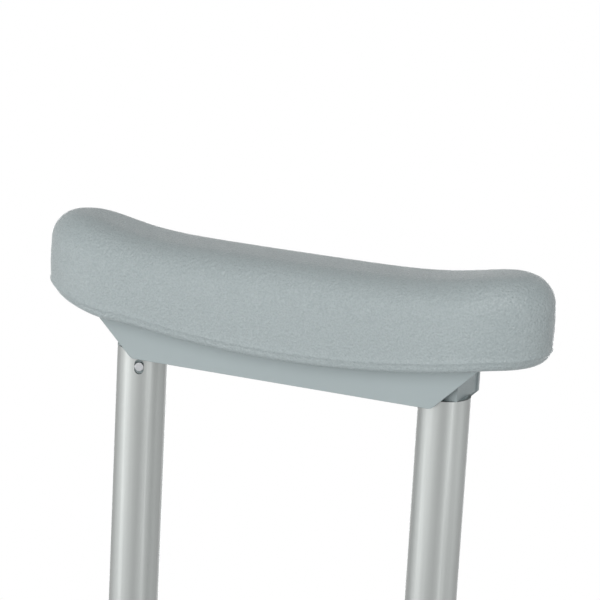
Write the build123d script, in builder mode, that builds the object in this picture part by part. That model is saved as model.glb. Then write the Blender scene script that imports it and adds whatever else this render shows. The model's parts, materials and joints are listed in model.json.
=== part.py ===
from build123d import *
import math
import os

# Underarm crutch, in millimetres. The middle of the tip's sole is the origin, +Z runs up the
# crutch, X runs along the underarm pad and -Y is the side of the bracket's cut-away plate.

# Fits, and how far a cutting shape runs past what it cuts
running_gap = 0.1
seat_gap = 0.05
slide_gap = 0.3
soft_gap = 0.3
cut_margin = 5.0

# Rubber tip and its washer
tip_radius = 21.0
tip_neck_radius = 14.6
tip_mouth_radius = 15.4
tip_sole_rounding = 2.5
tip_band_height = 6.0
tip_flare_radius = 16.2
tip_flare_height = 16.0
tip_neck_height = 22.0
tip_height = 56.0
tip_mouth_height = 6.0
tip_mouth_step = 2.0
tip_floor = 13.0
tip_groove_depth = 2.0
tip_groove_width = 2.4
tip_groove_radii = (7.0, 13.0)
tip_ring_heights = (26.0, 34.0, 42.0)
tip_ring_radius = 1.6
tip_washer_thickness = 2.0
tip_washer_bore = 5.0

# Leg tube
leg_radius = 11.1
leg_wall = 1.2
leg_length = 388.0
leg_plug_depth = 11.0
leg_plug_flange = 2.0
leg_plug_rounding = 0.8

# Height adjustment
hole_pitch = 25.4
height_holes = 7
button_radius = 4.0
button_drop = 34.0
button_stand_out = 2.6
button_rounding = 1.8
button_plate = 1.2
button_plate_lap = 2.0
spring_thickness = 0.8
spring_width = 6.0
spring_length = 52.0
spring_bend_radius = 1.0
spring_foot_width = 3.2

# Centre tube
centre_radius = 12.7
centre_wall = 1.3
centre_end_margin = 24.0
centre_head_margin = 22.0
centre_cap_flange = 2.5
centre_cap_depth = 12.0
centre_cap_rounding = 1.2
collar_radius = 15.6
collar_height = 18.0
collar_lip = 4.0
collar_rounding = 1.4

# Side tubes, called bows
bow_radius = 11.0
bow_wall = 1.2
bow_spacing = 139.0
bow_bend_radius = 110.0
bow_bend_rise = 120.0
bow_bend_margin = 22.0
bow_end_margin = 26.0
bow_plug_depth = 12.0
bow_plug_flange = 2.5
bow_plug_rounding = 1.6

# Rivets and saddles that join the bows to the centre tube
rivet_radius = 2.5
rivet_head_radius = 5.2
rivet_head_height = 2.4
rivet_head_rounding = 1.9
rivet_spacing = 60.0
rivet_headroom = 22.0
saddle_web = 3.0
saddle_height = 20.0
saddle_depth = 18.0
saddle_wrap = 5.0
saddle_rounding = 2.5

# Handgrip
grip_holes = 7
grip_headroom = 34.0
grip_core_radius = 9.0
grip_radius = 16.0
grip_swell = 1.6
grip_end_rounding = 4.0
grip_end_length = 12.0
grip_end_radius = 14.0
grip_end_wrap = 4.0
grip_end_socket = 6.0
grip_end_edge = 1.2

# Handgrip bolt, washers and wing nut
bolt_radius = 3.0
bolt_head_width = 10.0
bolt_head_height = 4.0
bolt_tail = 5.0
bolt_chamfer = 0.6
washer_radius = 8.0
washer_thickness = 1.5
nut_height = 9.0
nut_base_radius = 6.2
nut_top_radius = 4.6
wing_span = 15.0
wing_rise = 5.0
wing_thickness = 2.6
wing_root = 1.0
wing_shoulder = 2.0

# Underarm bracket
bracket_height = 405.0
plate_thickness = 2.2
bracket_depth = 27.6
plate_half_length = 68.4
back_half_length = 79.8
back_corner = 3.0
plate_corner_radius = 4.0
plate_blank_height = 54.0
shoulder_rise = 3.0
shoulder_front = 8.0
shoulder_inner = 12.0
shoulder_recess = 0.6
bracket_roof = 2.5
roof_margin = 5.0
roof_end_gap = 1.0
rib_thickness = 2.0
rib_positions = (-24.0, 0.0, 24.0)
spigot_length = 28.0

# Pins that hold the bows on the bracket's spigots
pin_radius = 1.9
pin_slot_length = 6.6
pin_drop = 7.3
pin_angle = 18.0
pin_length = 7.0

# Underarm pad and the hard insert inside it
pad_half_length = 113.7
pad_half_width = 21.5
pad_under = 11.5
pad_over = 52.2
pad_crest = 58.9
pad_nose_radius = 15.0
pad_slope_x = 76.0
pad_slope = 55.5
pad_dish_x = 50.0
pad_dish = 53.2
pad_saddle_radius = 450.0
pad_heel_radius = 5.0
pad_lap = 6.5
insert_half_length = 88.0
insert_half_width = 11.0
insert_thickness = 3.0
insert_boss_radius = 5.0
insert_boss_height = 9.0
pad_screw_positions = (-45.0, 45.0)
pad_screw_radius = 2.0
pad_screw_length = 12.0
pad_screw_head_radius = 4.0
pad_screw_head_height = 2.4
pad_screw_head_rounding = 1.0
screw_seat_radius = 5.5
screw_seat_drop = 2.0

# Heights, from the floor up
leg_foot = tip_floor + tip_washer_thickness
leg_top = leg_foot + leg_length
button_height = leg_top - button_drop
height_travel = (height_holes - 1) * hole_pitch
centre_bottom = button_height - height_travel - centre_end_margin
low_rivet_height = leg_top + leg_plug_flange + rivet_headroom
high_rivet_height = low_rivet_height + rivet_spacing
centre_top = high_rivet_height + centre_head_margin
bow_foot = low_rivet_height - bow_end_margin
bend_low = centre_top + bow_bend_margin
bend_high = bend_low + bow_bend_rise
grip_height = bend_high + grip_headroom
plate_low = grip_height + bracket_height
bow_top = plate_low + shoulder_rise

# Places across the crutch
leg_bore = leg_radius - leg_wall
centre_bore = leg_radius + slide_gap
bow_bore = bow_radius - bow_wall
bow_x = bow_spacing / 2
bow_low_x = centre_radius + saddle_web + bow_radius
bow_inner = bow_x - bow_radius
bow_outer = bow_x + bow_radius
rivet_reach = bow_low_x + bow_radius
plate_face = bracket_depth / 2
grip_half_length = bow_inner - grip_end_length
core_half_length = grip_half_length + grip_end_socket
washer_seat = bow_outer + slide_gap
head_seat = washer_seat + washer_thickness
bolt_end = head_seat + nut_height + bolt_tail
rivet_heights = (low_rivet_height, high_rivet_height)
roof_top = pad_under + pad_lap
roof_half = plate_half_length + roof_top + roof_margin
insert_middle = roof_top + insert_thickness / 2
insert_top = roof_top + insert_thickness
grip_heights = [grip_height + i * hole_pitch for i in range(grip_holes)]
height_marks = [button_height - i * hole_pitch for i in range(height_holes)]


def saddle_height_at(x, height):
    """Height at x of the shallow saddle curve that starts this far above the plate's lower edge."""
    sag = pad_saddle_radius - math.sqrt(pad_saddle_radius**2 - x**2)
    return plate_low + height + sag


def saddle_band(half_length, low, high):
    """Side view of a band that follows the saddle curve, between two heights."""
    with BuildSketch(Plane.XZ, mode=Mode.PRIVATE) as band:
        with BuildLine():
            ends = [(s * half_length, saddle_height_at(half_length, low)) for s in (-1, 1)]
            tops = [(s * half_length, saddle_height_at(half_length, high)) for s in (-1, 1)]
            ThreePointArc(ends[0], (0, saddle_height_at(0, low)), ends[1])
            Line(ends[1], tops[1])
            ThreePointArc(tops[1], (0, saddle_height_at(0, high)), tops[0])
            Line(tops[0], ends[0])
        make_face()
    return band.sketch


def save(builder, label):
    """Name a finished piece and write its file."""
    builder.part.label = label
    export_step(builder.part, f"parts/{label}.step")


def tube_plug(radius, bore, depth, flange, rounding, start, upward):
    """Plastic plug whose stem fills a tube's bore; upward is 1 for a tube above the flange."""
    with BuildPart() as plug:
        with BuildSketch(Plane.XY.offset(start)):
            Circle(radius)
        extrude(amount=-upward * flange)
        outer = plug.faces().sort_by(Axis.Z)[0 if upward > 0 else -1]
        fillet(outer.edges(), rounding)
        with BuildSketch(Plane.XY.offset(start)):
            Circle(bore - seat_gap)
        extrude(amount=upward * depth)
    return plug


def bolt_line_bar(radius, start, end):
    """Round bar along X between two places, on the handgrip's bolt line."""
    with BuildPart() as bar:
        with BuildSketch(Plane.YZ.offset(start)):
            with Locations((0, grip_height)):
                Circle(radius)
        extrude(amount=end - start)
    return bar.part


def pin_plane(side):
    """Plane through a bow's axis at its pin's height, facing the way the pin is driven in from."""
    turn = math.radians(pin_angle)
    return Plane(
        origin=(side * bow_x, 0, bow_top - pin_drop),
        x_dir=(0, 0, 1),
        z_dir=(-side * math.sin(turn), side * math.cos(turn), 0),
    )


os.makedirs("parts", exist_ok=True)

# Rubber tip: a flared ferrule with rings round its neck and grooves in its sole
with BuildPart() as rubber_tip:
    with BuildSketch(Plane.XZ):
        with BuildLine():
            mouth_low = tip_height - tip_mouth_height
            Line((0, 0), (tip_radius - tip_sole_rounding, 0))
            RadiusArc(
                (tip_radius - tip_sole_rounding, 0),
                (tip_radius, tip_sole_rounding),
                -tip_sole_rounding,
            )
            Line((tip_radius, tip_sole_rounding), (tip_radius, tip_band_height))
            Spline(
                (tip_radius, tip_band_height),
                (tip_flare_radius, tip_flare_height),
                (tip_neck_radius, tip_neck_height),
                tangents=((0, 1), (0, 1)),
            )
            Line((tip_neck_radius, tip_neck_height), (tip_neck_radius, mouth_low - tip_mouth_step))
            Line((tip_neck_radius, mouth_low - tip_mouth_step), (tip_mouth_radius, mouth_low))
            Line((tip_mouth_radius, mouth_low), (tip_mouth_radius, tip_height))
            Line((tip_mouth_radius, tip_height), (0, tip_height))
            Line((0, tip_height), (0, 0))
        make_face()
    revolve(axis=Axis.Z)
    for ring_height in tip_ring_heights:
        with BuildSketch(Plane.XZ):
            with Locations((tip_neck_radius, ring_height)):
                Circle(tip_ring_radius)
        revolve(axis=Axis.Z)
    with BuildSketch(Plane.XY.offset(tip_height)):
        Circle(leg_radius + seat_gap)
    extrude(amount=tip_floor - tip_height, mode=Mode.SUBTRACT)
    for groove_radius in tip_groove_radii:
        with BuildSketch(Plane.XY):
            Circle(groove_radius + tip_groove_width)
            Circle(groove_radius, mode=Mode.SUBTRACT)
        extrude(amount=tip_groove_depth, mode=Mode.SUBTRACT)
save(rubber_tip, "rubber_tip")

# Steel washer that keeps the leg's rim from cutting through the sole
with BuildPart() as tip_washer:
    with BuildSketch(Plane.XY.offset(tip_floor)):
        Circle(leg_radius - seat_gap)
        Circle(tip_washer_bore, mode=Mode.SUBTRACT)
    extrude(amount=tip_washer_thickness)
save(tip_washer, "tip_washer")

# Leg tube, with one hole for the snap button in its front
with BuildPart() as leg_tube:
    with BuildSketch(Plane.XY.offset(leg_foot)):
        Circle(leg_radius)
        Circle(leg_bore, mode=Mode.SUBTRACT)
    extrude(amount=leg_length)
    with BuildSketch(Plane.XZ):
        with Locations((0, button_height)):
            Circle(button_radius + running_gap)
    extrude(amount=leg_radius * 2, mode=Mode.SUBTRACT)
save(leg_tube, "leg_tube")

# Plug in the leg's upper end
leg_plug = tube_plug(
    leg_radius, leg_bore, leg_plug_depth, leg_plug_flange, leg_plug_rounding, leg_top, -1
)
save(leg_plug, "leg_top_plug")

# Hairpin leaf spring: the front arm carries the button, the rear arm leans on the bore
button_seat = math.sqrt(leg_bore**2 - button_radius**2) - seat_gap
spring_front = button_seat - button_plate
spring_back = math.sqrt(leg_bore**2 - (spring_width / 2) ** 2) - slide_gap
spring_foot = button_height - spring_length
with BuildPart() as button_spring:
    with BuildSketch(Plane.YZ):
        with BuildLine():
            arm_top = button_height + button_radius + button_plate_lap
            arm_low = button_height - 2 * button_radius
            bend = FilletPolyline(
                (-spring_front + spring_thickness / 2, arm_top),
                (-spring_front + spring_thickness / 2, arm_low),
                (-spring_foot_width / 2, spring_foot),
                (spring_foot_width / 2, spring_foot),
                (spring_back - spring_thickness / 2, arm_low),
                (spring_back - spring_thickness / 2, arm_top),
                radius=spring_bend_radius,
            )
        trace(bend, line_width=spring_thickness)
    extrude(amount=spring_width / 2, both=True)
save(button_spring, "button_spring")

# Snap button: a domed pin with a wider plate behind it, through the leg and the centre tube
button_end = centre_radius + button_stand_out
with BuildPart() as snap_button:
    with BuildSketch(Plane.XZ.offset(spring_front)):
        with Locations((0, button_height)):
            Rectangle(spring_width, 2 * (button_radius + button_plate_lap))
    extrude(amount=button_plate)
    with BuildSketch(Plane.XZ.offset(spring_front)):
        with Locations((0, button_height)):
            Circle(button_radius)
    extrude(amount=button_end - spring_front)
    fillet(snap_button.faces().sort_by(Axis.Y)[0].edges(), button_rounding)
save(snap_button, "snap_button")

# Centre tube, with the row of height holes in its front and the rivet holes through its sides
with BuildPart() as centre_tube:
    with BuildSketch(Plane.XY.offset(centre_bottom)):
        Circle(centre_bore + centre_wall)
        Circle(centre_bore, mode=Mode.SUBTRACT)
    extrude(amount=centre_top - centre_bottom)
    with BuildSketch(Plane.XZ):
        with Locations(*[(0, mark) for mark in height_marks]):
            Circle(button_radius + running_gap)
    extrude(amount=centre_radius * 2, mode=Mode.SUBTRACT)
    with BuildSketch(Plane.YZ):
        with Locations(*[(0, height) for height in rivet_heights]):
            Circle(rivet_radius + seat_gap)
    extrude(amount=rivet_reach, both=True, mode=Mode.SUBTRACT)
save(centre_tube, "centre_tube")

# Cap in the centre tube's upper end
centre_cap = tube_plug(
    centre_radius,
    centre_bore,
    centre_cap_depth,
    centre_cap_flange,
    centre_cap_rounding,
    centre_top,
    -1,
)
save(centre_cap, "centre_tube_cap")

# Plastic collar on the lower end of the centre tube, which guides the leg
with BuildPart() as leg_collar:
    with BuildSketch(Plane.XY.offset(centre_bottom - collar_lip)):
        Circle(collar_radius)
    extrude(amount=collar_height)
    fillet(leg_collar.edges(), collar_rounding)
    with BuildSketch(Plane.XY.offset(centre_bottom)):
        Circle(centre_radius + seat_gap)
    extrude(amount=collar_height, mode=Mode.SUBTRACT)
    with BuildSketch(Plane.XY.offset(centre_bottom - collar_lip)):
        Circle(leg_radius + slide_gap)
    extrude(amount=collar_height, mode=Mode.SUBTRACT)
save(leg_collar, "leg_collar")


def bow(side):
    """One side tube: straight beside the centre tube, then out in an S bend and up."""
    with BuildPart() as tube:
        with BuildLine(Plane.XZ) as path:
            FilletPolyline(
                (side * bow_low_x, bow_foot),
                (side * bow_low_x, bend_low),
                (side * bow_x, bend_high),
                (side * bow_x, bow_top),
                radius=bow_bend_radius,
            )
        with BuildSketch(Plane(origin=path.line @ 0, z_dir=path.line % 0)):
            Circle(bow_radius)
            Circle(bow_bore, mode=Mode.SUBTRACT)
        sweep()
        with BuildSketch(Plane.YZ.offset(side * (bow_inner - cut_margin))):
            with Locations(*[(0, height) for height in grip_heights]):
                Circle(bolt_radius + running_gap)
        extrude(amount=side * 2 * (bow_radius + cut_margin), mode=Mode.SUBTRACT)
        with BuildSketch(Plane.YZ.offset(side * centre_radius)):
            with Locations(*[(0, height) for height in rivet_heights]):
                Circle(rivet_radius + seat_gap)
        extrude(amount=side * rivet_reach, mode=Mode.SUBTRACT)
        with BuildSketch(pin_plane(side)):
            SlotOverall(pin_slot_length, 2 * (pin_radius + running_gap))
        extrude(amount=bow_radius + cut_margin, mode=Mode.SUBTRACT)
    return tube


bow_left = bow(-1)
save(bow_left, "bow_left")
bow_right = bow(1)
save(bow_right, "bow_right")

# Plugs in the lower ends of the two bows
bow_plug = tube_plug(
    bow_radius, bow_bore, bow_plug_depth, bow_plug_flange, bow_plug_rounding, bow_foot, 1
)
with BuildPart() as bow_end_plugs:
    for side in (-1, 1):
        add(Pos(side * bow_low_x, 0, 0) * bow_plug.part)
save(bow_end_plugs, "bow_end_plugs")

# Saddles between the centre tube and the bows, one at each rivet on each side
with BuildPart() as bow_saddles:
    for side in (-1, 1):
        for height in rivet_heights:
            middle = side * (centre_radius + saddle_web / 2)
            with Locations((middle, 0, height)):
                Box(saddle_web + 2 * saddle_wrap, saddle_depth, saddle_height)
    saddle_edges = bow_saddles.edges().filter_by(Axis.X)
    fillet(saddle_edges, saddle_rounding)
    with BuildSketch(Plane.XY.offset(bow_foot)):
        Circle(centre_radius + seat_gap)
        with Locations((-bow_low_x, 0), (bow_low_x, 0)):
            Circle(bow_radius + seat_gap)
    extrude(amount=centre_top - bow_foot, mode=Mode.SUBTRACT)
    with BuildSketch(Plane.YZ):
        with Locations(*[(0, height) for height in rivet_heights]):
            Circle(rivet_radius + seat_gap)
    extrude(amount=rivet_reach, both=True, mode=Mode.SUBTRACT)
save(bow_saddles, "bow_saddles")

# Rivets across both bows and the centre tube, with a domed head at each end
with BuildPart() as joining_rivets:
    with BuildSketch(Plane.YZ):
        with Locations(*[(0, height) for height in rivet_heights]):
            Circle(rivet_radius)
    extrude(amount=rivet_reach, both=True)
    for side in (-1, 1):
        with BuildSketch(Plane.YZ.offset(side * rivet_reach)):
            with Locations(*[(0, height) for height in rivet_heights]):
                Circle(rivet_head_radius)
        extrude(amount=side * rivet_head_height)
    domes = joining_rivets.faces().filter_by(Axis.X).group_by(Axis.X)
    fillet(domes[0].edges() + domes[-1].edges(), rivet_head_rounding)
save(joining_rivets, "joining_rivets")

# Underarm bracket: a channel with a cut-away front plate, open below, and a spigot for each bow
with BuildPart() as underarm_bracket:
    with BuildSketch(Plane.XZ.offset(plate_face)):
        rise = roof_half - plate_half_length
        with BuildLine():
            Polyline(
                (-roof_half, plate_low + rise),
                (-plate_half_length, plate_low),
                (plate_half_length, plate_low),
                (roof_half, plate_low + rise),
                (roof_half, plate_low + plate_blank_height),
                (-roof_half, plate_low + plate_blank_height),
                close=True,
            )
        face = make_face()
        fillet(face.vertices().group_by(Axis.Y)[0], plate_corner_radius)
        above = saddle_band(roof_half + cut_margin, roof_top, 2 * plate_blank_height)
        add(above, mode=Mode.SUBTRACT)
    extrude(amount=-plate_thickness)
    with BuildSketch(Plane.XZ.offset(plate_thickness - plate_face)):
        back_top = saddle_height_at(back_half_length, roof_top)
        with BuildLine():
            Polyline(
                (-back_half_length, plate_low + back_corner),
                (-back_half_length + back_corner, plate_low),
                (back_half_length - back_corner, plate_low),
                (back_half_length, plate_low + back_corner),
                (back_half_length, back_top),
            )
            ThreePointArc(
                (back_half_length, back_top),
                (0, saddle_height_at(0, roof_top)),
                (-back_half_length, back_top),
            )
            Line((-back_half_length, back_top), (-back_half_length, plate_low + back_corner))
        make_face()
    extrude(amount=-plate_thickness)
    roof = saddle_band(roof_half - roof_end_gap, roof_top - bracket_roof, roof_top)
    extrude(roof, plate_face, both=True)
    for side in (-1, 1):
        shoulder_outer = back_half_length - shoulder_recess
        with BuildSketch(Plane.XY.offset(bow_top)):
            with BuildLine():
                Polyline(
                    (side * (bow_x - shoulder_inner), plate_face - plate_thickness),
                    (side * (bow_x - shoulder_inner), -shoulder_front),
                    (side * (bow_x + shoulder_front), -shoulder_front),
                    (side * shoulder_outer, plate_face - plate_thickness),
                    close=True,
                )
            make_face()
        extrude(amount=roof_top - shoulder_rise)
        with BuildSketch(Plane.XY.offset(bow_top)):
            with Locations((side * bow_x, 0)):
                Circle(bow_bore - seat_gap)
        extrude(amount=-spigot_length)
    for place in rib_positions:
        with BuildSketch(Plane.YZ.offset(place - rib_thickness / 2)):
            with Locations((0, plate_low + (shoulder_rise + roof_top) / 2)):
                Rectangle(bracket_depth - plate_thickness, roof_top - shoulder_rise)
        extrude(amount=rib_thickness)
    for place in pad_screw_positions:
        seat = saddle_height_at(place, roof_top - bracket_roof) - screw_seat_drop
        with BuildSketch(Plane.XY.offset(seat)):
            with Locations((place, 0)):
                Circle(screw_seat_radius)
        extrude(amount=screw_seat_drop + bracket_roof / 2)
        with BuildSketch(Plane.XY.offset(seat)):
            with Locations((place, 0)):
                Circle(pad_screw_radius + running_gap)
        extrude(amount=screw_seat_drop + bracket_roof * 2, mode=Mode.SUBTRACT)
    for side in (-1, 1):
        with BuildSketch(pin_plane(side).offset(bow_radius - pin_length)):
            Circle(pin_radius + seat_gap)
        extrude(amount=pin_length, mode=Mode.SUBTRACT)
save(underarm_bracket, "underarm_bracket")

# Pins through a slot in each bow into the bracket's spigots, front on the left, rear on the right
with BuildPart() as bracket_pins:
    for side in (-1, 1):
        with BuildSketch(pin_plane(side).offset(bow_radius - pin_length + seat_gap)):
            Circle(pin_radius)
        extrude(amount=pin_length - seat_gap)
save(bracket_pins, "bracket_pins")

# Hard insert inside the pad, which the pad screws bite into
with BuildPart() as pad_insert:
    extrude(saddle_band(insert_half_length, roof_top, insert_top), insert_half_width, both=True)
    for place in pad_screw_positions:
        with BuildSketch(Plane.XY.offset(saddle_height_at(place, insert_middle))):
            with Locations((place, 0)):
                Circle(insert_boss_radius)
        extrude(amount=insert_boss_height)
        with BuildSketch(Plane.XY.offset(saddle_height_at(place, roof_top) - insert_thickness)):
            with Locations((place, 0)):
                Circle(pad_screw_radius + seat_gap)
        extrude(amount=pad_screw_length + insert_thickness, mode=Mode.SUBTRACT)
save(pad_insert, "pad_insert")

# Screws from below, through the bracket's roof into the insert
with BuildPart() as pad_screws:
    for place in pad_screw_positions:
        seat = saddle_height_at(place, roof_top - bracket_roof) - screw_seat_drop
        with BuildSketch(Plane.XY.offset(seat)):
            with Locations((place, 0)):
                Circle(pad_screw_head_radius)
        extrude(amount=-pad_screw_head_height)
        with BuildSketch(Plane.XY.offset(seat)):
            with Locations((place, 0)):
                Circle(pad_screw_radius)
        extrude(amount=pad_screw_length)
    fillet(pad_screws.faces().group_by(Axis.Z)[0].edges(), pad_screw_head_rounding)
save(pad_screws, "pad_screws")

# Underarm pad: a long soft cushion, dished along its top, with round ends
with BuildPart() as underarm_pad:
    nose = plate_low + pad_crest - pad_nose_radius
    heel = saddle_height_at(pad_half_length, pad_under)
    crest_x = pad_half_length - pad_nose_radius
    with BuildSketch(Plane.XZ):
        with BuildLine():
            RadiusArc((pad_half_length, nose), (crest_x, plate_low + pad_crest), -pad_nose_radius)
            Spline(
                (crest_x, plate_low + pad_crest),
                (pad_slope_x, plate_low + pad_slope),
                (pad_dish_x, plate_low + pad_dish),
                (0, plate_low + pad_over),
                (-pad_dish_x, plate_low + pad_dish),
                (-pad_slope_x, plate_low + pad_slope),
                (-crest_x, plate_low + pad_crest),
                tangents=((-1, 0), (-1, 0)),
            )
            RadiusArc((-crest_x, plate_low + pad_crest), (-pad_half_length, nose), -pad_nose_radius)
            Line((-pad_half_length, nose), (-pad_half_length, heel))
            ThreePointArc(
                (-pad_half_length, heel), (0, saddle_height_at(0, pad_under)), (pad_half_length, heel)
            )
            Line((pad_half_length, heel), (pad_half_length, nose))
        outline = make_face()
        fillet(outline.vertices().group_by(Axis.Y)[0], pad_heel_radius)
    extrude(amount=pad_half_width, both=True)
    with BuildSketch(Plane.XY.offset(plate_low)):
        SlotOverall(2 * pad_half_length, 2 * pad_half_width)
    extrude(amount=2 * pad_crest, mode=Mode.INTERSECT)
    extrude(
        saddle_band(roof_half + soft_gap, 0, roof_top + soft_gap),
        plate_face + soft_gap,
        both=True,
        mode=Mode.SUBTRACT,
    )
    extrude(
        saddle_band(insert_half_length + soft_gap, roof_top, insert_top + soft_gap),
        insert_half_width + soft_gap,
        both=True,
        mode=Mode.SUBTRACT,
    )
    for place in pad_screw_positions:
        boss_top = saddle_height_at(place, insert_middle) + insert_boss_height
        with BuildSketch(Plane.XY.offset(boss_top + soft_gap)):
            with Locations((place, 0)):
                Circle(insert_boss_radius + soft_gap)
        extrude(amount=-insert_boss_height, mode=Mode.SUBTRACT)
save(underarm_pad, "underarm_pad")

# Core of the handgrip, a plastic rod with the bolt's bore through it
with BuildPart() as grip_core:
    add(bolt_line_bar(grip_core_radius, -core_half_length, core_half_length))
    add(
        bolt_line_bar(bolt_radius + running_gap, -bow_inner, bow_inner),
        mode=Mode.SUBTRACT,
    )
save(grip_core, "grip_core")

# Soft sleeve over the core, a little fuller in the middle
with BuildPart() as grip_sleeve:
    with BuildSketch(Plane.XZ):
        sleeve_low = grip_height + grip_core_radius + soft_gap
        sleeve_end = grip_height + grip_radius - grip_swell
        with BuildLine():
            Line((-grip_half_length, sleeve_low), (grip_half_length, sleeve_low))
            Line((grip_half_length, sleeve_low), (grip_half_length, sleeve_end - grip_end_rounding))
            RadiusArc(
                (grip_half_length, sleeve_end - grip_end_rounding),
                (grip_half_length - grip_end_rounding, sleeve_end),
                -grip_end_rounding,
            )
            ThreePointArc(
                (grip_half_length - grip_end_rounding, sleeve_end),
                (0, grip_height + grip_radius),
                (grip_end_rounding - grip_half_length, sleeve_end),
            )
            RadiusArc(
                (grip_end_rounding - grip_half_length, sleeve_end),
                (-grip_half_length, sleeve_end - grip_end_rounding),
                -grip_end_rounding,
            )
            Line((-grip_half_length, sleeve_end - grip_end_rounding), (-grip_half_length, sleeve_low))
        make_face()
    revolve(axis=Axis((0, 0, grip_height), (1, 0, 0)))
save(grip_sleeve, "grip_sleeve")


def grip_end(side):
    """Plastic end of the handgrip, hollowed to seat against its bow."""
    with BuildPart() as end:
        with BuildSketch(Plane.YZ.offset(side * grip_half_length)):
            with Locations((0, grip_height)):
                Circle(grip_end_radius)
        extrude(amount=side * (grip_end_length + grip_end_wrap))
        fillet(end.edges(), grip_end_edge)
        with BuildSketch(Plane.YZ.offset(side * grip_half_length)):
            with Locations((0, grip_height)):
                Circle(grip_core_radius + seat_gap)
        extrude(amount=side * grip_end_socket, mode=Mode.SUBTRACT)
        with BuildSketch(Plane.YZ):
            with Locations((0, grip_height)):
                Circle(bolt_radius + running_gap)
        extrude(amount=side * bow_outer, mode=Mode.SUBTRACT)
        with BuildSketch(Plane.XY.offset(grip_height - 2 * grip_end_radius)):
            with Locations((side * bow_x, 0)):
                Circle(bow_radius + slide_gap)
        extrude(amount=4 * grip_end_radius, mode=Mode.SUBTRACT)
    return end


grip_end_left = grip_end(-1)
save(grip_end_left, "grip_end_left")
grip_end_right = grip_end(1)
save(grip_end_right, "grip_end_right")

# Through bolt with a hexagonal head on the left
with BuildPart() as grip_bolt:
    add(bolt_line_bar(bolt_radius, -head_seat, bolt_end))
    with BuildSketch(Plane.YZ.offset(-head_seat)):
        with Locations((0, grip_height)):
            RegularPolygon(bolt_head_width / 2, 6, major_radius=False)
    extrude(amount=-bolt_head_height)
    chamfer(grip_bolt.faces().sort_by(Axis.X)[-1].edges(), bolt_chamfer)
save(grip_bolt, "grip_bolt")


def washer(side):
    """Flat washer outside a bow, under the bolt's head or the nut."""
    with BuildPart() as ring:
        with BuildSketch(Plane.YZ.offset(side * washer_seat)):
            with Locations((0, grip_height)):
                Circle(washer_radius)
                Circle(bolt_radius + running_gap, mode=Mode.SUBTRACT)
        extrude(amount=side * washer_thickness)
    return ring


bolt_washer = washer(-1)
save(bolt_washer, "bolt_washer")
nut_washer = washer(1)
save(nut_washer, "nut_washer")

# Wing nut: a tapered hub with two upright ears
with BuildPart() as wing_nut:
    with BuildSketch(Plane.XZ):
        with BuildLine():
            Polyline(
                (head_seat, grip_height),
                (head_seat, grip_height + nut_base_radius),
                (head_seat + nut_height, grip_height + nut_top_radius),
                (head_seat + nut_height, grip_height),
                close=True,
            )
        make_face()
    revolve(axis=Axis((0, 0, grip_height), (1, 0, 0)))
    with BuildSketch(Plane.XZ):
        for up in (-1, 1):
            with BuildLine():
                ear_root = grip_height + up * bolt_radius
                ear_tip = grip_height + up * wing_span
                outer_x = head_seat + nut_height + wing_rise
                Polyline(
                    (head_seat + wing_root, ear_root),
                    (head_seat + wing_shoulder, grip_height + up * nut_base_radius),
                    (outer_x - wing_rise, ear_tip),
                    (outer_x, ear_tip),
                    (head_seat + nut_height - wing_root, ear_root),
                    close=True,
                )
            make_face()
    extrude(amount=wing_thickness / 2, both=True)
    add(
        bolt_line_bar(bolt_radius + seat_gap, head_seat - cut_margin, bolt_end),
        mode=Mode.SUBTRACT,
    )
save(wing_nut, "wing_nut")
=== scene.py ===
"""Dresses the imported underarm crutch: materials, soft pieces, camera, light and floor."""
import json
import math

import bpy
from mathutils import Matrix, Vector


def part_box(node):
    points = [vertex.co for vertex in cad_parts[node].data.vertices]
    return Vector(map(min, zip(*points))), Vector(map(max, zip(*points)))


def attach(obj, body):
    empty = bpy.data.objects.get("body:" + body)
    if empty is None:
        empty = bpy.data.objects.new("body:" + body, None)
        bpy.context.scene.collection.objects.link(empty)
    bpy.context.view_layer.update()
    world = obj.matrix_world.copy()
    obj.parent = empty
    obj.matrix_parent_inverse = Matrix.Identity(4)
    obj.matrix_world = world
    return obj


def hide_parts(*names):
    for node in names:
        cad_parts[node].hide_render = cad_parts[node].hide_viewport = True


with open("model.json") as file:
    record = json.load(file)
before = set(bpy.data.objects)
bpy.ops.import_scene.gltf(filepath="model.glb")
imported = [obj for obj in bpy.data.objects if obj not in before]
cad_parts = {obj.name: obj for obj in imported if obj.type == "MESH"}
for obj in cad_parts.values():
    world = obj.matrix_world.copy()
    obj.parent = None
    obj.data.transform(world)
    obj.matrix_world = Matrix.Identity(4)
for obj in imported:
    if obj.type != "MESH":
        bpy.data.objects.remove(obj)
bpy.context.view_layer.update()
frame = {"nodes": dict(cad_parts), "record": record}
nodes = frame["nodes"]
MM = 0.001

# Places taken from the frame
PAD_LOW, PAD_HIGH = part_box("underarm_pad")
GRIP_LOW, GRIP_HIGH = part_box("grip_sleeve")

# The pad's own sizes, in metres; a pair holds the value for the left and the right end
PAD_HALF_LENGTH = (PAD_HIGH[0] - PAD_LOW[0]) / 2
PAD_HALF_WIDTH = (PAD_HIGH[1] - PAD_LOW[1]) / 2
PAD_CREST = PAD_HIGH[2]
PAD_UNDER = PAD_LOW[2]
PAD_NOSE_REACH = 35.5 * MM
PAD_NOSE_POWER = 2.12
PAD_DISH = 6.7 * MM
PAD_CREST_X = PAD_HALF_LENGTH - 15 * MM
PAD_SADDLE_RADIUS = 450 * MM
PAD_SIDE_ROUNDING = 14 * MM
PAD_NOSE_ROUNDING = 12.5 * MM
PAD_CROWN = 1.0 * MM
PAD_TIP_STARTS = (62 * MM, 88 * MM)
PAD_TIP_RUNS = (24 * MM, 24 * MM)
PAD_TIP_DROPS = (1.7 * MM, 2.4 * MM)
PAD_HEELS = (3.2 * MM, 1.6 * MM)
PAD_HEEL_POWER = 0.85
PAD_HEEL_RISE = 3.4 * MM
PAD_CLIMBS = (3.2, 2.7)
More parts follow.
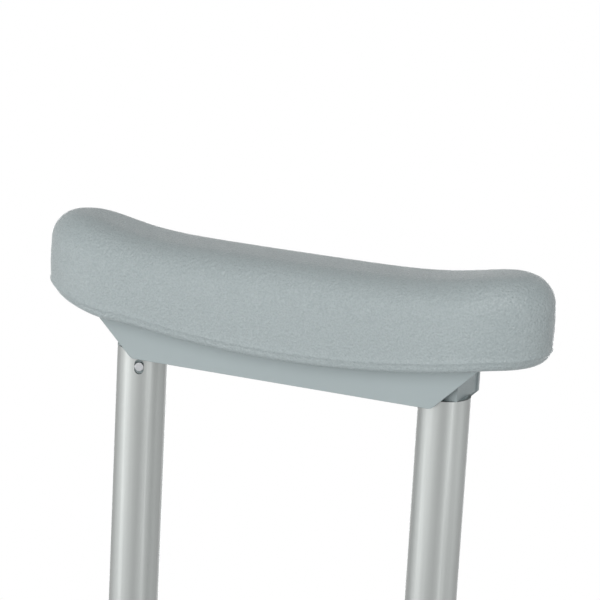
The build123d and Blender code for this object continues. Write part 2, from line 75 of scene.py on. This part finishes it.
PAD_PARABOLA_SHARE = 0.1
RECESS_HALF_LENGTH = 91.8 * MM
RECESS_HALF_WIDTH = 14.2 * MM
RECESS_CORNER = 3 * MM
RECESS_DEPTH = 6.8 * MM
RECESS_TAPER = 0.97
RECESS_STEP = 0.1
RECESS_FLARE_X = 1.002
RECESS_FLARE_Y = 1.02

# Section of the pad's lower edge, as (inset, height) in metres: a smooth turned-in band under
# a low ridge, where the grained wall starts
PAD_EDGE = (
    (3.20 * MM, 0.00 * MM),
    (2.40 * MM, 0.12 * MM),
    (1.70 * MM, 0.45 * MM),
    (1.15 * MM, 0.95 * MM),
    (0.80 * MM, 1.55 * MM),
    (0.64 * MM, 2.20 * MM),
    (0.56 * MM, 2.90 * MM),
    (0.48 * MM, 3.50 * MM),
    (0.24 * MM, 3.85 * MM),
    (0.05 * MM, 4.20 * MM),
    (0.00 * MM, 4.55 * MM),
    (0.06 * MM, 4.90 * MM),
    (0.20 * MM, 5.25 * MM),
    (0.30 * MM, 5.70 * MM),
)
PAD_WALL_INSET = 0.30 * MM
PAD_ARC_STEPS = 26
PAD_RUN_STEPS = 92
PAD_WALL_STEPS = 9
PAD_ROUND_STEPS = 12
PAD_TOP_STEPS = 4
PAD_TOP_GAP = 0.4

# The grip sleeve's own sizes, in metres
GRIP_BORE = 9.3 * MM
GRIP_END_ROUNDING = 3.5 * MM
GRIP_HOLLOW = 0.9 * MM
GRIP_HOLLOW_FADE = 10 * MM
GRIP_BELLY = 1.5 * MM
GRIP_FINGERS = 4
GRIP_STATIONS = 120
GRIP_AROUND = 64

# The photograph's camera
CAMERA_TARGET = Vector((0.00266, 0.0, 1.12353))
CAMERA_AZIMUTH = math.radians(21.797)
CAMERA_ELEVATION = math.radians(14.759)
CAMERA_ROLL = math.radians(3.089)
CAMERA_DISTANCE = 1.072
PHOTO_FOCAL_PIXELS = 2546
PHOTO_WIDTH_PIXELS = 600
SENSOR_WIDTH = 36
CAMERA_LENS = PHOTO_FOCAL_PIXELS / PHOTO_WIDTH_PIXELS * SENSOR_WIDTH


# Node helpers

class Shader:
    """A material's node tree, with the few calls that the materials below share."""

    def __init__(self, name, color, roughness, metallic=0.0):
        self.material = bpy.data.materials.new(name)
        self.material.use_nodes = True
        self.tree = self.material.node_tree
        self.bsdf = self.tree.nodes["Principled BSDF"]
        self.bsdf.inputs["Base Color"].default_value = (*color, 1.0)
        self.bsdf.inputs["Roughness"].default_value = roughness
        self.bsdf.inputs["Metallic"].default_value = metallic
        self.color = color
        self.roughness = roughness
        self.height = None

    def add(self, kind, **values):
        node = self.tree.nodes.new(kind)
        for key, value in values.items():
            setattr(node, key, value)
        return node

    def join(self, out, into):
        self.tree.links.new(out, into)

    def place(self, scale):
        """Object coordinates, stretched by a scale for each axis."""
        coordinates = self.add("ShaderNodeTexCoord")
        mapping = self.add("ShaderNodeMapping")
        mapping.inputs["Scale"].default_value = scale
        self.join(coordinates.outputs["Object"], mapping.inputs["Vector"])
        return mapping.outputs["Vector"]

    def noise(self, scale, detail=3.0, stretch=(1, 1, 1), rough=0.5):
        node = self.add("ShaderNodeTexNoise")
        node.inputs["Scale"].default_value = scale
        node.inputs["Detail"].default_value = detail
        node.inputs["Roughness"].default_value = rough
        self.join(self.place(stretch), node.inputs["Vector"])
        return node.outputs["Fac"]

    def cells(self, scale):
        node = self.add("ShaderNodeTexVoronoi", feature="SMOOTH_F1")
        node.inputs["Scale"].default_value = scale
        node.inputs["Smoothness"].default_value = 0.6
        self.join(self.place((1, 1, 1)), node.inputs["Vector"])
        return node.outputs["Distance"]

    def spread(self, value, low, high, to_low, to_high):
        node = self.add("ShaderNodeMapRange")
        node.inputs["From Min"].default_value = low
        node.inputs["From Max"].default_value = high
        node.inputs["To Min"].default_value = to_low
        node.inputs["To Max"].default_value = to_high
        self.join(value, node.inputs["Value"])
        return node.outputs["Result"]

    def tint(self, value, low, high, other, under=None):
        """Mixes the base colour, or one mixed before it, towards another by a value."""
        mix = self.add("ShaderNodeMix", data_type="RGBA")
        mix.inputs["A"].default_value = (*self.color, 1.0)
        if under is not None:
            self.join(under, mix.inputs["A"])
        mix.inputs["B"].default_value = (*other, 1.0)
        factor = self.spread(value, low, high, 0.0, 1.0)
        self.join(factor, mix.inputs["Factor"])
        self.join(mix.outputs["Result"], self.bsdf.inputs["Base Color"])
        return mix.outputs["Result"]

    def polish(self, value, low, high, swing):
        """Varies the roughness round its middle value."""
        out = self.spread(value, low, high, self.roughness - swing, self.roughness + swing)
        self.join(out, self.bsdf.inputs["Roughness"])

    def bump(self, value, distance, strength=1.0):
        """Adds a layer of relief over the ones before it; distance is in metres."""
        node = self.add("ShaderNodeBump")
        node.inputs["Strength"].default_value = strength
        node.inputs["Distance"].default_value = distance
        self.join(value, node.inputs["Height"])
        if self.height is not None:
            self.join(self.height, node.inputs["Normal"])
        self.height = node.outputs["Normal"]
        self.join(self.height, self.bsdf.inputs["Normal"])

    def soften_edges(self, radius):
        """Rounds the look of sharp edges before any relief is added."""
        node = self.add("ShaderNodeBevel", samples=6)
        node.inputs["Radius"].default_value = radius
        self.height = node.outputs["Normal"]
        self.join(self.height, self.bsdf.inputs["Normal"])


# Materials

def tube_aluminium():
    """Satin anodised drawn tube, with faint die lines along its length."""
    s = Shader("tube_aluminium", (0.345, 0.36, 0.354), 0.42, metallic=1.0)
    lines = s.noise(900.0, 2.0, stretch=(1, 1, 0.012))
    cloud = s.noise(14.0, 4.0)
    s.bsdf.inputs["Specular Tint"].default_value = (0.85, 0.85, 0.85, 1.0)
    s.tint(cloud, 0.35, 0.7, (0.325, 0.339, 0.333))
    s.polish(lines, 0.3, 0.7, 0.05)
    s.bump(lines, 0.00002, 0.6)
    return s.material


def bracket_plastic():
    """Smooth moulded plastic with a fine matt texture."""
    s = Shader("bracket_plastic", (0.39, 0.455, 0.465), 0.42)
    s.soften_edges(0.0005)
    cloud = s.noise(22.0, 3.0)
    grain = s.noise(2600.0, 2.0)
    s.tint(cloud, 0.3, 0.75, (0.375, 0.435, 0.445))
    s.polish(grain, 0.3, 0.7, 0.05)
    s.bump(grain, 0.00003, 0.5)
    return s.material


def pad_vinyl():
    """Soft vinyl skin with a fine pebble grain and a faint speckle."""
    s = Shader("pad_vinyl", (0.364, 0.421, 0.431), 0.38)
    pebble = s.cells(950.0)
    speckle = s.noise(1400.0, 1.0)
    cloud = s.noise(18.0, 4.0)
    clouded = s.tint(cloud, 0.3, 0.75, (0.35, 0.406, 0.416))
    s.tint(speckle, 0.35, 1.1, (0.5, 0.56, 0.57), under=clouded)
    s.polish(speckle, 0.7, 0.3, 0.12)
    s.bump(s.noise(260.0, 3.0), 0.0002, 0.5)
    s.bump(pebble, 0.0005, 0.7)
    return s.material


def zinc_steel():
    """Zinc plated steel: greyish, with a soft mottle."""
    s = Shader("zinc_steel", (0.5, 0.51, 0.52), 0.3, metallic=1.0)
    s.soften_edges(0.0003)
    mottle = s.noise(420.0, 4.0)
    s.tint(mottle, 0.35, 0.7, (0.42, 0.43, 0.45))
    s.polish(mottle, 0.3, 0.7, 0.08)
    s.bump(s.noise(3000.0, 2.0), 0.00002, 0.5)
    return s.material


def spring_steel():
    """Dark blued strip steel, drawn lengthwise."""
    s = Shader("spring_steel", (0.2, 0.21, 0.23), 0.35, metallic=1.0)
    lines = s.noise(1200.0, 2.0, stretch=(1, 1, 0.03))
    s.polish(lines, 0.3, 0.7, 0.07)
    s.bump(lines, 0.00002, 0.5)
    return s.material


def dark_plastic():
    """Moulded nylon in dark grey."""
    s = Shader("dark_plastic", (0.06, 0.064, 0.068), 0.45)
    s.soften_edges(0.0004)
    grain = s.noise(1800.0, 3.0)
    s.tint(s.noise(40.0, 4.0), 0.35, 0.7, (0.075, 0.08, 0.084))
    s.polish(grain, 0.3, 0.7, 0.06)
    s.bump(grain, 0.00004, 0.5)
    return s.material


def tip_rubber():
    """Vulcanised rubber with a dusty bloom."""
    s = Shader("tip_rubber", (0.11, 0.112, 0.115), 0.75)
    s.soften_edges(0.0005)
    bloom = s.noise(90.0, 6.0, rough=0.65)
    s.tint(bloom, 0.4, 0.75, (0.19, 0.19, 0.185))
    s.polish(bloom, 0.3, 0.7, 0.1)
    s.bump(s.noise(1500.0, 4.0), 0.00008, 0.6)
    return s.material


MATERIALS = {
    "tube_aluminium": tube_aluminium(),
    "bracket_plastic": bracket_plastic(),
    "pad_vinyl": pad_vinyl(),
    "zinc_steel": zinc_steel(),
    "spring_steel": spring_steel(),
    "dark_plastic": dark_plastic(),
    "tip_rubber": tip_rubber(),
}


def dress(obj, slot):
    """Gives every material slot of an object one of the materials."""
    obj.data.materials.clear()
    obj.data.materials.append(MATERIALS[slot])


for subpart in frame["record"]["subparts"]:
    dress(nodes[subpart["node"]], subpart["material_slot"])


# Soft pieces

def mesh_object(name, vertices, faces, body, slot):
    """A smooth mesh that rides on a body and takes its finish from a record slot."""
    mesh = bpy.data.meshes.new(name)
    mesh.from_pydata(vertices, [], faces)
    mesh.validate()
    mesh.update()
    mesh.polygons.foreach_set("use_smooth", [True] * len(mesh.polygons))
    obj = bpy.data.objects.new(name, mesh)
    bpy.context.scene.collection.objects.link(obj)
    obj.data.materials.append(MATERIALS[slot])
    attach(obj, body)
    return obj


def saddle_sag(x):
    """How far the pad's underside rises at x: a shallow arc, a little lower towards the tips."""
    arc = PAD_SADDLE_RADIUS - math.sqrt(PAD_SADDLE_RADIUS**2 - x**2)
    end = x > 0
    share = min(max(abs(x) - PAD_TIP_STARTS[end], 0.0) / PAD_TIP_RUNS[end], 1.0)
    return arc - PAD_TIP_DROPS[end] * share**2 * (3 - 2 * share)


def crown_height(x):
    """Height of the pad's crown line at x: dished in the middle, level past its two crests."""
    share = min(abs(x) / PAD_CREST_X, 1.0)
    swing = math.sin(math.pi / 2 * share ** PAD_CLIMBS[x > 0]) ** 2
    climb = PAD_PARABOLA_SHARE * share**2 + (1 - PAD_PARABOLA_SHARE) * swing
    return PAD_CREST - PAD_DISH * (1 - climb)


def half_outline():
    """Front half of the pad's plan outline, from its left tip to its right tip.

    Each entry is (x, y, tipward), where tipward is 1 at a tip and 0 along the side.
    """
    centre = PAD_HALF_LENGTH - PAD_NOSE_REACH
    power = 2 / PAD_NOSE_POWER
    nose = []
    for i in range(PAD_ARC_STEPS):
        turn = math.pi / 2 * i / PAD_ARC_STEPS
        x = centre + PAD_NOSE_REACH * math.cos(turn) ** power
        nose.append((x, -PAD_HALF_WIDTH * math.sin(turn) ** power, math.cos(turn) ** 2))
    stations = [-centre + 2 * centre * i / PAD_RUN_STEPS for i in range(PAD_RUN_STEPS + 1)]
    run = [(x, -PAD_HALF_WIDTH, 0.0) for x in stations]
    return [(-x, y, tipward) for x, y, tipward in nose] + run + nose[::-1]


def recess_outline():
    """Front half of the rectangular recess, point for point with half_outline."""
    centre = PAD_HALF_LENGTH - PAD_NOSE_REACH
    inner = RECESS_HALF_LENGTH - RECESS_CORNER
    points = []
    for x, y, tipward in half_outline():
        if abs(x) <= centre:
            points.append((x * inner / centre, -RECESS_HALF_WIDTH, 0.0))
            continue
        side = math.copysign(1, x)
        turn = math.atan2(-y, abs(x) - centre)
        reach = RECESS_CORNER / max(math.cos(turn), 1e-6)
        if turn > 0:
            reach = min(reach, RECESS_HALF_WIDTH / math.sin(turn))
        points.append((side * (inner + reach * math.cos(turn)), -reach * math.sin(turn), 0.0))
    return points


def pad_inset(amount):
    """The pad's half outline moved in by an amount that may differ towards the tips."""
    centre = PAD_HALF_LENGTH - PAD_NOSE_REACH
    moved = []
    for x, y, tipward in half_outline():
        inset = amount(x, tipward)
        over = max(abs(x) - centre, 0.0) * (1 - inset / PAD_NOSE_REACH)
        x_in = math.copysign(min(abs(x), centre) + over, x)
        moved.append((x_in, y * (1 - inset / PAD_HALF_WIDTH), tipward))
    return moved


def pad_cover():
    """The pad's skin: a round top, a wall, a turned-in lower edge and a recess below."""
    rings = []

    def ring(half, height):
        rings.append([(x, y, height(x, y, tipward)) for x, y, tipward in half])

    def under(x):
        return PAD_UNDER + saddle_sag(x)

    def rounding(tipward):
        return PAD_SIDE_ROUNDING + (PAD_NOSE_ROUNDING - PAD_SIDE_ROUNDING) * tipward

    recess = recess_outline()
    ceiling = [(x, y * RECESS_TAPER, t) for x, y, t in recess]
    mouth = [(x * RECESS_FLARE_X, y * RECESS_FLARE_Y, t) for x, y, t in recess]
    ring(ceiling, lambda x, y, t: under(x) + RECESS_DEPTH)
    ring(recess, lambda x, y, t: under(x) + RECESS_DEPTH * RECESS_TAPER)
    ring(recess, lambda x, y, t: under(x) + RECESS_DEPTH * RECESS_STEP)
    ring(mouth, lambda x, y, t: under(x))
    for inset, rise in PAD_EDGE:
        heel = max(1 - rise / PAD_HEEL_RISE, 0.0) ** PAD_HEEL_POWER
        half = pad_inset(
            lambda x, t, inset=inset, heel=heel: inset + heel * PAD_HEELS[x > 0] * t
        )
        ring(half, lambda x, y, t, rise=rise: under(x) + rise)
    edge_top = PAD_EDGE[-1][1]
    for i in range(1, PAD_WALL_STEPS):
        share = i / PAD_WALL_STEPS

        def wall(x, y, t, share=share):
            low = under(x) + edge_top
            high = crown_height(x) - rounding(t) - PAD_CROWN
            return low + (high - low) * share

        swell = PAD_WALL_INSET * (1 - math.sin(math.pi * share))
        ring(pad_inset(lambda x, t, swell=swell: swell), wall)
    for i in range(PAD_ROUND_STEPS + 1):
        turn = math.pi / 2 * i / PAD_ROUND_STEPS
        start = PAD_WALL_INSET * math.cos(turn)
        half = pad_inset(
            lambda x, t, turn=turn, start=start: start + rounding(t) * (1 - math.cos(turn))
        )
        ring(
            half,
            lambda x, y, t, turn=turn: crown_height(x)
            - rounding(t) * (1 - math.sin(turn))
            - PAD_CROWN * (y / PAD_HALF_WIDTH) ** 2,
        )
    for i in range(1, PAD_TOP_STEPS + 1):
        share = i / (PAD_TOP_STEPS + PAD_TOP_GAP)
        half = pad_inset(
            lambda x, t, share=share: rounding(t) + (PAD_HALF_WIDTH - rounding(t)) * share
        )
        ring(half, lambda x, y, t: crown_height(x) - PAD_CROWN * (y / PAD_HALF_WIDTH) ** 2)

    count = len(rings[0])
    around = 2 * count - 2
    vertices = []
    for half in rings:
        vertices += half
        vertices += [(x, -y, z) for x, y, z in half[-2:0:-1]]
    faces = []
    for level in range(len(rings) - 1):
        for i in range(around):
            j = (i + 1) % around
            low, high = level * around, (level + 1) * around
            faces.append((low + i, low + j, high + j, high + i))
    for base, flip in ((0, True), ((len(rings) - 1) * around, False)):
        for i in range(count - 1):
            back, ahead = (around - i) % around, (around - i - 1) % around
            loop = [base + i, base + i + 1, base + ahead, base + back]
            unique = list(dict.fromkeys(loop))
            faces.append(tuple(reversed(unique)) if flip else tuple(unique))
    return mesh_object("pad_cover", vertices, faces, "frame", "pad_vinyl")


def grip_cover():
    """The handgrip's soft sleeve, turned about X, with four shallow finger hollows."""
    mid_z = (GRIP_LOW[2] + GRIP_HIGH[2]) / 2
    half_length = (GRIP_HIGH[0] - GRIP_LOW[0]) / 2
    radius = (GRIP_HIGH[2] - GRIP_LOW[2]) / 2
    around = GRIP_AROUND
    profile = [(-half_length, GRIP_BORE)]
    for i in range(GRIP_STATIONS + 1):
        x = -half_length + 2 * half_length * i / GRIP_STATIONS
        edge = half_length - abs(x)
        phase = 2 * math.pi * GRIP_FINGERS * (x + half_length) / (2 * half_length)
        wave = (1 - math.cos(phase)) / 2
        taper = GRIP_BELLY * (x / half_length) ** 2
        fade = min(edge / GRIP_HOLLOW_FADE, 1.0)
        r = radius - taper - GRIP_HOLLOW * wave * fade
        if edge < GRIP_END_ROUNDING:
            over = GRIP_END_ROUNDING**2 - (GRIP_END_ROUNDING - edge) ** 2
            r -= GRIP_END_ROUNDING - math.sqrt(max(over, 0.0))
        profile.append((x, r))
    profile.append((half_length, GRIP_BORE))
    vertices = []
    for x, r in profile:
        for k in range(around):
            turn = 2 * math.pi * k / around
            vertices.append((x, r * math.cos(turn), mid_z + r * math.sin(turn)))
    faces = []
    for i in range(len(profile)):
        low, high = i * around, (i + 1) % len(profile) * around
        for k in range(around):
            j = (k + 1) % around
            faces.append((low + k, high + k, high + j, low + j))
    return mesh_object("grip_cover", vertices, faces, "handgrip", "pad_vinyl")


pad = pad_cover()
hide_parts("underarm_pad")
grip = grip_cover()
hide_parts("grip_sleeve")


# Camera

def photo_camera():
    """The camera at the photograph's place, roll and focal length."""
    azimuth, elevation, roll = CAMERA_AZIMUTH, CAMERA_ELEVATION, CAMERA_ROLL
    back = Vector(
        (
            math.sin(azimuth) * math.cos(elevation),
            -math.cos(azimuth) * math.cos(elevation),
            math.sin(elevation),
        )
    )
    level = Vector((math.cos(azimuth), math.sin(azimuth), 0.0))
    upright = back.cross(level)
    right = level * math.cos(roll) + upright * math.sin(roll)
    up = upright * math.cos(roll) - level * math.sin(roll)
    data = bpy.data.cameras.new("photo_camera")
    data.lens = CAMERA_LENS
    data.sensor_width = SENSOR_WIDTH
    data.clip_end = 50
    camera = bpy.data.objects.new("photo_camera", data)
    bpy.context.scene.collection.objects.link(camera)
    turn = Matrix((right, up, back)).transposed().to_4x4()
    camera.matrix_world = Matrix.Translation(CAMERA_TARGET + back * CAMERA_DISTANCE) @ turn
    bpy.context.scene.camera = camera


photo_camera()


# Light, world and floor

def lamp(name, azimuth, elevation, distance, width, height, power):
    """A soft box aimed at the pad; azimuth 0 is in front of the bracket, positive to its right."""
    a, e = math.radians(azimuth), math.radians(elevation)
    away = Vector((math.sin(a) * math.cos(e), -math.cos(a) * math.cos(e), math.sin(e)))
    data = bpy.data.lights.new(name, "AREA")
    data.shape = "RECTANGLE"
    data.size = width
    data.size_y = height
    data.energy = power
    obj = bpy.data.objects.new(name, data)
    bpy.context.scene.collection.objects.link(obj)
    obj.location = CAMERA_TARGET + away * distance
    obj.rotation_euler = away.to_track_quat("Z", "Y").to_euler()


lamp("key_light", -47, -12, 2.4, 0.9, 1.2, 5)
lamp("wide_light", -30, -10, 2.4, 2.6, 1.3, 11)
lamp("left_light", -72, -10, 2.4, 1.4, 1.3, 5)
lamp("fill_light", 56, -10, 2.4, 0.7, 1.3, 7.3)
lamp("right_light", 100, -8, 2.4, 1.2, 1.3, 3.8)
lamp("front_light", 10, 32, 2.4, 1.6, 1.6, 25)
lamp("top_light", 10, 65, 2.0, 1.6, 1.6, 6)
lamp("back_light", -162, -14, 2.4, 1.8, 1.0, 22)


def shown_rays(tree):
    """1 for camera, glossy and transmission rays, which see the white background, else 0."""
    path = tree.nodes.new("ShaderNodeLightPath")
    value = path.outputs["Is Camera Ray"]
    for name in ("Is Glossy Ray", "Is Transmission Ray"):
        either = tree.nodes.new("ShaderNodeMath")
        either.operation = "MAXIMUM"
        tree.links.new(value, either.inputs[0])
        tree.links.new(path.outputs[name], either.inputs[1])
        value = either.outputs[0]
    return value


def studio_world(ambient):
    """White to the camera and in reflections, softer as the light that falls on the object."""
    world = bpy.data.worlds.new("studio")
    bpy.context.scene.world = world
    world.use_nodes = True
    tree = world.node_tree
    tree.nodes.clear()
    strength = tree.nodes.new("ShaderNodeMapRange")
    strength.inputs["To Min"].default_value = ambient
    strength.inputs["To Max"].default_value = 1.0
    tree.links.new(shown_rays(tree), strength.inputs["Value"])
    background = tree.nodes.new("ShaderNodeBackground")
    background.inputs["Color"].default_value = (1, 1, 1, 1)
    tree.links.new(strength.outputs["Result"], background.inputs["Strength"])
    out = tree.nodes.new("ShaderNodeOutputWorld")
    tree.links.new(background.outputs[0], out.inputs["Surface"])


studio_world(ambient=0.155)


def studio_floor(radius, paint_radius, white_radius, glow_share):
    """Pale round floor that keeps the shadow near the tip and looks white further out."""
    steps = 96
    turns = [2 * math.pi * k / steps for k in range(steps)]
    rim = [(radius * math.cos(turn), radius * math.sin(turn), 0) for turn in turns]
    mesh = bpy.data.meshes.new("floor")
    mesh.from_pydata(rim, [], [tuple(range(steps))])
    floor = bpy.data.objects.new("floor", mesh)
    bpy.context.scene.collection.objects.link(floor)
    material = bpy.data.materials.new("floor_paint")
    material.use_nodes = True
    tree = material.node_tree
    bsdf = tree.nodes["Principled BSDF"]
    bsdf.inputs["Base Color"].default_value = (0.86, 0.86, 0.86, 1)
    bsdf.inputs["Roughness"].default_value = 0.8
    where = tree.nodes.new("ShaderNodeTexCoord")
    length = tree.nodes.new("ShaderNodeVectorMath")
    length.operation = "LENGTH"
    tree.links.new(where.outputs["Object"], length.inputs[0])
    fade = tree.nodes.new("ShaderNodeMapRange")
    fade.interpolation_type = "SMOOTHSTEP"
    fade.inputs["From Min"].default_value = paint_radius
    fade.inputs["From Max"].default_value = white_radius
    fade.inputs["To Min"].default_value = glow_share
    tree.links.new(length.outputs["Value"], fade.inputs["Value"])
    shown = tree.nodes.new("ShaderNodeMath")
    shown.operation = "MULTIPLY"
    tree.links.new(fade.outputs["Result"], shown.inputs[0])
    tree.links.new(shown_rays(tree), shown.inputs[1])
    glow = tree.nodes.new("ShaderNodeEmission")
    glow.inputs["Color"].default_value = (1, 1, 1, 1)
    mix = tree.nodes.new("ShaderNodeMixShader")
    tree.links.new(shown.outputs[0], mix.inputs[0])
    tree.links.new(bsdf.outputs[0], mix.inputs[1])
    tree.links.new(glow.outputs[0], mix.inputs[2])
    tree.links.new(mix.outputs[0], tree.nodes["Material Output"].inputs["Surface"])
    mesh.materials.append(material)


studio_floor(radius=2.4, paint_radius=0.3, white_radius=1.92, glow_share=0.5)

scene = bpy.context.scene
scene.view_settings.view_transform = "Standard"
